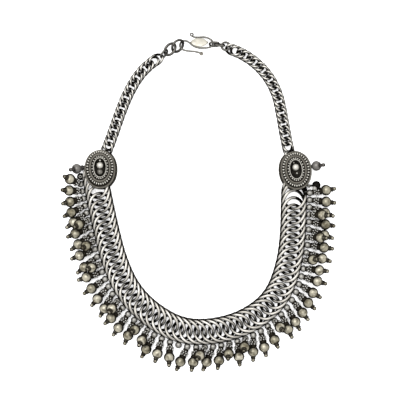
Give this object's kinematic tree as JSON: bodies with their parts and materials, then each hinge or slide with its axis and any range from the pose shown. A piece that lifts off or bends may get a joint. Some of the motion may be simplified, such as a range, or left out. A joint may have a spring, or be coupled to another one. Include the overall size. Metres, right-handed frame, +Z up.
{
  "type": "collar necklace",
  "caption": "Silver-coloured collar necklace: a wide flat chain band with a fringe of ball drops, two oval medallions and chain straps closed by an S-hook.",
  "frame": {"origin": "middle of the whole collar, on the surface that it lies on", "axes": "+Y from the bottom of the fringe to the clasp, +X to the right seen from above, +Z up from the surface"},
  "size_m": [0.1638, 0.2038, 0.018],
  "materials": {
    "clasp_silver": "tarnished silver wire",
    "hook_silver": "hammered pale silver",
    "strap_silver": "tarnished silver wire",
    "medallion_silver": "oxidised silver with worn bright granules",
    "drop_silver": "warm tarnished silver",
    "dark_bead": "blackened",
    "band_silver": "flattened silver wire, bright on top and dark below"
  },
  "bodies": {
    "root": {"s_hook": "hook_silver", "ring_left_1": "clasp_silver", "ring_left_2": "clasp_silver", "link_left": "clasp_silver", "link_right_1": "clasp_silver", "link_right_2": "clasp_silver", "ring_right": "clasp_silver", "strap_left": "strap_silver", "strap_right": "strap_silver", "medallion_left": "medallion_silver", "medallion_right": "medallion_silver", "side_drop_left": "drop_silver", "side_drop_right": "drop_silver", "dark_bead_left": "dark_bead", "dark_bead_right": "dark_bead", "band_left": "band_silver", "band_right": "band_silver", "fringe_left": "drop_silver", "fringe_right": "drop_silver"}
  },
  "joints": []
}
